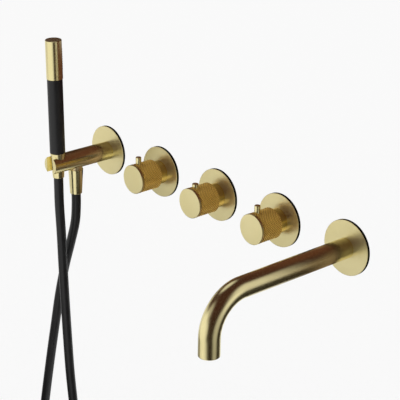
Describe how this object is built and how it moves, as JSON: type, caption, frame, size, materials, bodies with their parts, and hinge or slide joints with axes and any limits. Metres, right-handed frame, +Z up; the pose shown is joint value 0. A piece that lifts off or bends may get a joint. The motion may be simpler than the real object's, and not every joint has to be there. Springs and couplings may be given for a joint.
{
  "type": "wall-mounted bath and shower mixer set",
  "caption": "Wall-mounted satin brass bath and shower set: roses in a row carry a holder with hand shower and hose, knurled flow and thermostat knobs, and a curved spout.",
  "frame": {"origin": "where the thermostat's axis meets the finished wall", "axes": "+X along the row of wall holes towards the spout, +Y into the wall, +Z up"},
  "size_m": [0.614, 0.2665, 0.9337],
  "materials": {
    "satin_brass": "satin, finely brushed",
    "knurled_brass": "fine diamond knurl",
    "plain_brass": "as turned",
    "black_grip": "satin black",
    "black_hose": "smooth satin black",
    "rubber": "matt",
    "ceramic": "lapped ceramic",
    "steel": "stainless",
    "white_plastic": "moulded",
    "copper": "drawn copper"
  },
  "bodies": {
    "fixed_set": {"outlet_rose": "satin_brass", "shower_rose": "satin_brass", "thermostat_rose": "satin_brass", "bath_rose": "satin_brass", "spout_rose": "satin_brass", "holder_arm": "satin_brass", "outlet_nut": "satin_brass", "shower_collar": "satin_brass", "thermostat_collar": "satin_brass", "bath_collar": "satin_brass", "spout_tube": "satin_brass", "arm_tail": "plain_brass", "outlet_spigot": "plain_brass", "outlet_ferrule": "plain_brass", "shower_headwork": "plain_brass", "thermostat_housing": "plain_brass", "bath_headwork": "plain_brass", "retaining_ring": "plain_brass", "spout_tail": "plain_brass", "aerator_housing": "plain_brass", "shower_hose": "black_hose", "rose_seals": "rubber", "outlet_washer": "rubber", "shower_seat_seal": "rubber", "bath_seat_seal": "rubber", "shower_fixed_disc": "ceramic", "bath_fixed_disc": "ceramic", "set_screws": "steel", "return_spring": "steel", "check_valve": "white_plastic", "aerator_insert": "white_plastic"},
    "shower_knob": {"shower_turning_disc": "ceramic", "shower_spindle": "plain_brass", "shower_knob": "knurled_brass", "shower_knob_screw": "steel", "shower_knob_cap": "satin_brass", "shower_lever": "satin_brass"},
    "bath_knob": {"bath_turning_disc": "ceramic", "bath_spindle": "plain_brass", "bath_knob": "knurled_brass", "bath_knob_screw": "steel", "bath_knob_cap": "satin_brass", "bath_lever": "satin_brass"},
    "thermostat_knob": {"thermostat_spindle": "plain_brass", "thermostat_knob": "knurled_brass", "thermostat_knob_screw": "steel", "thermostat_knob_cap": "satin_brass", "button_spring": "steel"},
    "stop_button": {"stop_button": "satin_brass"},
    "thermostat_shuttle": {"thermostat_shuttle": "white_plastic", "wax_element": "copper"},
    "hose_end": {"hand_ferrule": "plain_brass", "hand_washer": "rubber"},
    "hand_shower": {"hand_nut": "satin_brass", "hand_stem": "plain_brass", "hand_grip": "black_grip", "hand_head": "satin_brass", "head_cap": "satin_brass", "spray_plate": "black_grip"}
  },
  "joints": [
    {"name": "shower_turn", "type": "hinge", "parent": "fixed_set", "child": "shower_knob", "pos_m": [-0.12, -0.036, 0], "axis": [0, -1, 0], "range_deg": [0, 90]},
    {"name": "thermostat_turn", "type": "hinge", "parent": "fixed_set", "child": "thermostat_knob", "pos_m": [0, -0.036, 0], "axis": [0, -1, 0], "range_deg": [-210, 60]},
    {"name": "bath_turn", "type": "hinge", "parent": "fixed_set", "child": "bath_knob", "pos_m": [0.12, -0.036, 0], "axis": [0, -1, 0], "range_deg": [0, 90]},
    {"name": "stop_press", "type": "slide", "parent": "thermostat_knob", "child": "stop_button", "axis": [0, 0, -1], "range_m": [0, 0.0025], "stiffness_N_per_m": 2000, "deforming": ["button_spring"]},
    {"name": "shuttle_slide", "type": "slide", "parent": "fixed_set", "child": "thermostat_shuttle", "axis": [0, -1, 0], "range_m": [-0.0009, 0.0003], "deforming": ["return_spring"]},
    {"name": "hand_lift", "type": "slide", "parent": "fixed_set", "child": "hose_end", "axis": [0, -0.0209, 0.9998], "range_m": [0, 0.06]},
    {"name": "hand_swivel", "type": "hinge", "parent": "hose_end", "child": "hand_shower", "pos_m": [-0.24, -0.096, 0], "axis": [0, -0.0209, 0.9998], "continuous": true}
  ],
  "couplings": [
    {"joint": "shuttle_slide", "follows": "thermostat_turn", "m_per_rad": 0.00023873}
  ]
}
